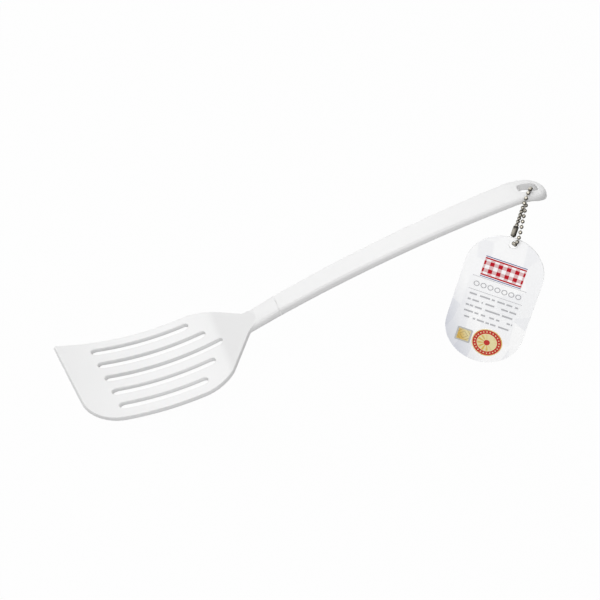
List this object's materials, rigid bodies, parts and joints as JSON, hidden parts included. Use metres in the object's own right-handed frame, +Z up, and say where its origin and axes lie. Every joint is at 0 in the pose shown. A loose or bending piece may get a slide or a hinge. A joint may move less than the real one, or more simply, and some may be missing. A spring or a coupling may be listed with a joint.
{
  "type": "kitchen spatula",
  "caption": "Slotted kitchen turner with a bowed blade, a long flat handle and an oval hang tag that swings on a ball chain through the eye of the handle.",
  "frame": {"origin": "middle of the flat scraping land under the blade's front edge, where the turner meets the pan", "axes": "+X from the blade towards the handle, +Y across the blade, +Z up; the turner stands at its working angle with the handle raised"},
  "size_m": [0.2728, 0.0718, 0.1549],
  "materials": {
    "white_plastic": "satin",
    "chain_steel": "nickel plated",
    "tag_card": "coated card",
    "tag_seal": "glossy label",
    "tag_stamp": "glossy label"
  },
  "bodies": {
    "spatula": {"head": "white_plastic", "handle": "white_plastic", "ball_12": "chain_steel", "ball_13": "chain_steel", "ball_14": "chain_steel", "ball_15": "chain_steel", "ball_16": "chain_steel", "ball_17": "chain_steel", "ball_18": "chain_steel", "link_12": "chain_steel", "link_13": "chain_steel", "link_14": "chain_steel", "link_15": "chain_steel", "link_16": "chain_steel", "link_17": "chain_steel"},
    "chain_upper": {"ball_08": "chain_steel", "ball_09": "chain_steel", "ball_10": "chain_steel", "ball_11": "chain_steel", "ball_19": "chain_steel", "ball_20": "chain_steel", "ball_21": "chain_steel", "link_08": "chain_steel", "link_09": "chain_steel", "link_10": "chain_steel", "link_11": "chain_steel", "link_18": "chain_steel", "link_19": "chain_steel", "link_20": "chain_steel"},
    "chain_lower": {"ball_01": "chain_steel", "ball_02": "chain_steel", "ball_03": "chain_steel", "ball_04": "chain_steel", "ball_05": "chain_steel", "ball_06": "chain_steel", "ball_07": "chain_steel", "ball_22": "chain_steel", "ball_23": "chain_steel", "ball_24": "chain_steel", "ball_25": "chain_steel", "ball_26": "chain_steel", "ball_27": "chain_steel", "connector": "chain_steel", "link_01": "chain_steel", "link_02": "chain_steel", "link_03": "chain_steel", "link_04": "chain_steel", "link_05": "chain_steel", "link_06": "chain_steel", "link_07": "chain_steel", "link_21": "chain_steel", "link_22": "chain_steel", "link_23": "chain_steel", "link_24": "chain_steel", "link_26": "chain_steel", "link_27": "chain_steel"},
    "tag": {"tag_card": "tag_card", "tag_seal": "tag_seal", "tag_stamp": "tag_stamp"}
  },
  "joints": [
    {"name": "chain_swing", "type": "hinge", "parent": "spatula", "child": "chain_upper", "pos_m": [0.24369, -0.0069, 0.14642], "axis": [-0.5831, -0.8124, 0], "range_deg": [-14, 16]},
    {"name": "chain_fold", "type": "hinge", "parent": "chain_upper", "child": "chain_lower", "pos_m": [0.24302, -0.00899, 0.13616], "axis": [-0.966, -0.2585, 0], "range_deg": [-12, 12]},
    {"name": "tag_swing", "type": "hinge", "parent": "chain_lower", "child": "tag", "pos_m": [0.24282, -0.00992, 0.11765], "axis": [-0.515, -0.8572, 0], "range_deg": [-15, 60]}
  ]
}
